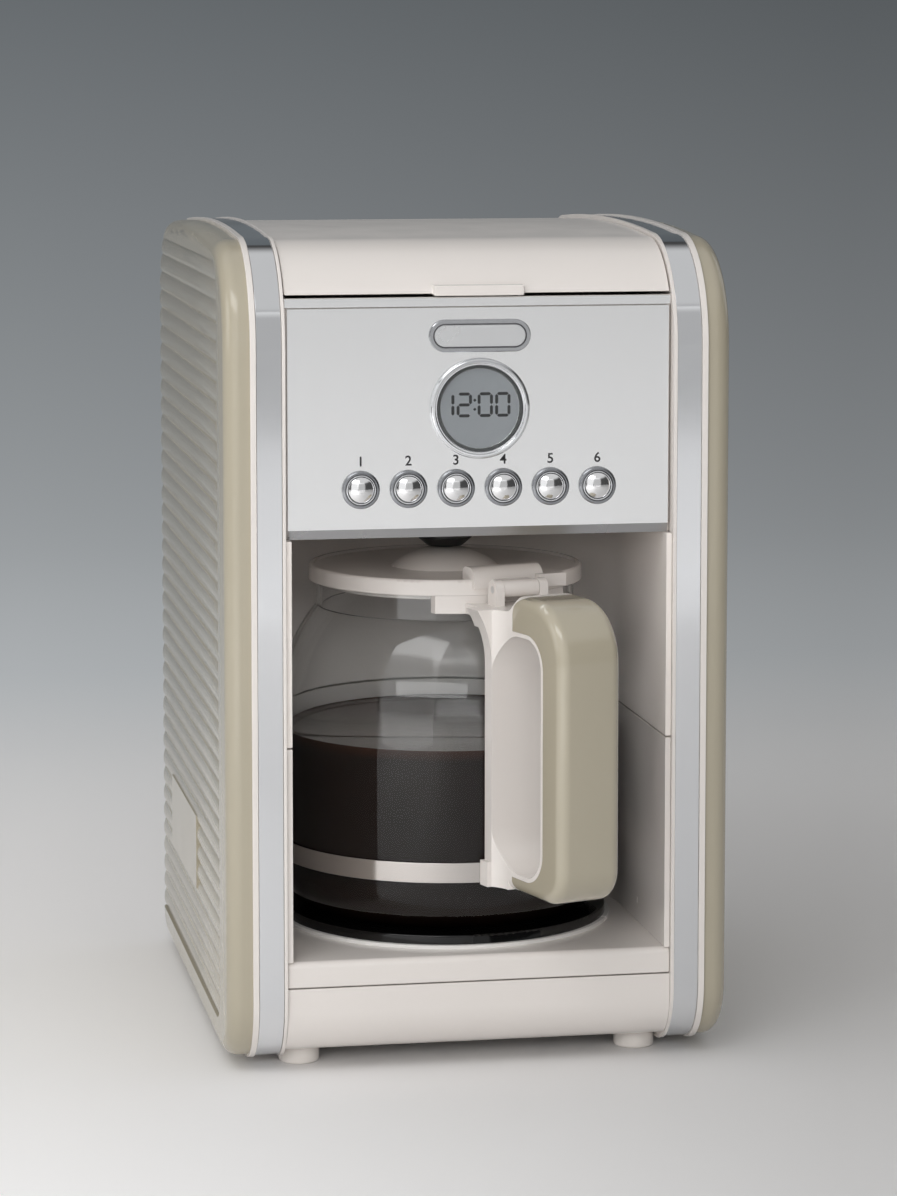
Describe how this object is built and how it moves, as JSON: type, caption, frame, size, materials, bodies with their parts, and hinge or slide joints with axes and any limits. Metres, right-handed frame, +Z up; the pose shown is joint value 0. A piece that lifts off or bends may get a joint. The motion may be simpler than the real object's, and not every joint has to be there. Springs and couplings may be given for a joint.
{
  "type": "drip coffee maker",
  "caption": "Drip coffee maker with ribbed sides in chrome-edged frames, round clock display over a row of push buttons, hinged lid, drip-stop basket and glass jug on a warming plate.",
  "frame": {"origin": "On the floor under the middle of the whole object's bounding box, jug handle included.", "axes": "+Z up, -Y towards the user (the control panel and jug face -Y), +X to the user's right."},
  "size_m": [0.222, 0.3158, 0.3665],
  "materials": {
    "cream_gloss": "gloss",
    "taupe_gloss": "gloss",
    "chrome_trim": "polished",
    "silver_sheet": "satin",
    "display_clear": "polished",
    "display_grey": "matte",
    "jug_glass": "polished",
    "plate_black": "satin",
    "pale_metal": "satin",
    "black_plastic": "satin",
    "steel": "satin",
    "inner_white": "matte",
    "tank_clear": "satin",
    "foot_rubber": "matte",
    "seal_rubber": "matte",
    "board_green": "satin"
  },
  "bodies": {
    "casing": {"base_pan": "cream_gloss", "base_deck": "cream_gloss", "left_side_frame": "cream_gloss", "right_side_frame": "cream_gloss", "bay_wall_lower": "cream_gloss", "bay_wall_upper": "cream_gloss", "head_housing": "cream_gloss", "rear_cover": "cream_gloss", "left_side_panel": "taupe_gloss", "right_side_panel": "taupe_gloss", "left_chrome_strip": "chrome_trim", "right_chrome_strip": "chrome_trim", "badge_plate": "chrome_trim", "display_bezel": "chrome_trim", "button_bezels": "chrome_trim", "control_panel": "silver_sheet", "display_lens": "display_clear", "display_module": "display_grey", "hotplate": "plate_black", "hotplate_ring": "pale_metal", "flow_heater": "pale_metal", "heater_clamp": "pale_metal", "thermostat": "black_plastic", "button_switches": "black_plastic", "cord_gland": "black_plastic", "check_valve": "black_plastic", "casing_screws": "steel", "lid_hinge_pins": "steel", "bottom_plate": "inner_white", "basket_well": "inner_white", "water_tank": "tank_clear", "feet": "foot_rubber", "outlet_seal": "seal_rubber", "inlet_hose": "seal_rubber", "riser_hose": "seal_rubber", "control_board": "board_green", "power_board": "board_green"},
    "lid": {"lid": "cream_gloss", "spray_plate": "inner_white"},
    "basket": {"brew_basket": "inner_white", "mesh_filter": "steel", "valve_spring": "steel"},
    "valve": {"drip_valve": "black_plastic", "valve_seal": "seal_rubber"},
    "carafe": {"carafe_glass": "jug_glass", "carafe_band": "pale_metal", "handle_frame": "cream_gloss", "handle_cover": "taupe_gloss", "carafe_lid_pin": "steel"},
    "carafe_lid": {"carafe_lid": "cream_gloss"},
    "button_1": {"button_1": "chrome_trim"},
    "button_2": {"button_2": "chrome_trim"},
    "button_3": {"button_3": "chrome_trim"},
    "button_4": {"button_4": "chrome_trim"},
    "button_5": {"button_5": "chrome_trim"},
    "button_6": {"button_6": "chrome_trim"}
  },
  "joints": [
    {"name": "lid_hinge", "type": "hinge", "parent": "casing", "child": "lid", "pos_m": [0, 0.10389, 0.3524], "axis": [-1, 0, 0], "range_deg": [0, 80]},
    {"name": "basket_lift", "type": "slide", "parent": "casing", "child": "basket", "axis": [0, 0, 1], "range_m": [0, 0.014]},
    {"name": "valve_slide", "type": "slide", "parent": "basket", "child": "valve", "axis": [0, 0, 1], "range_m": [0, 0.005], "stiffness_N_per_m": 150, "springref_m": -0.002, "deforming": ["valve_spring"]},
    {"name": "carafe_slide", "type": "slide", "parent": "casing", "child": "carafe", "axis": [0, -1, 0], "range_m": [0, 0.3]},
    {"name": "carafe_lid_hinge", "type": "hinge", "parent": "carafe", "child": "carafe_lid", "pos_m": [0.02061, -0.09153, 0.2094], "axis": [0.9563, 0.2924, 0], "range_deg": [0, 4]},
    {"name": "button_1_press", "type": "slide", "parent": "casing", "child": "button_1", "axis": [0, 1, 0], "range_m": [0, 0.0012], "stiffness_N_per_m": 800, "springref_m": -0.0005},
    {"name": "button_2_press", "type": "slide", "parent": "casing", "child": "button_2", "axis": [0, 1, 0], "range_m": [0, 0.0012], "stiffness_N_per_m": 800, "springref_m": -0.0005},
    {"name": "button_3_press", "type": "slide", "parent": "casing", "child": "button_3", "axis": [0, 1, 0], "range_m": [0, 0.0012], "stiffness_N_per_m": 800, "springref_m": -0.0005},
    {"name": "button_4_press", "type": "slide", "parent": "casing", "child": "button_4", "axis": [0, 1, 0], "range_m": [0, 0.0012], "stiffness_N_per_m": 800, "springref_m": -0.0005},
    {"name": "button_5_press", "type": "slide", "parent": "casing", "child": "button_5", "axis": [0, 1, 0], "range_m": [0, 0.0012], "stiffness_N_per_m": 800, "springref_m": -0.0005},
    {"name": "button_6_press", "type": "slide", "parent": "casing", "child": "button_6", "axis": [0, 1, 0], "range_m": [0, 0.0012], "stiffness_N_per_m": 800, "springref_m": -0.0005}
  ],
  "couplings": [
    {"joint": "valve_slide", "follows": "carafe_lid_hinge", "m_per_rad": 0.0705}
  ]
}
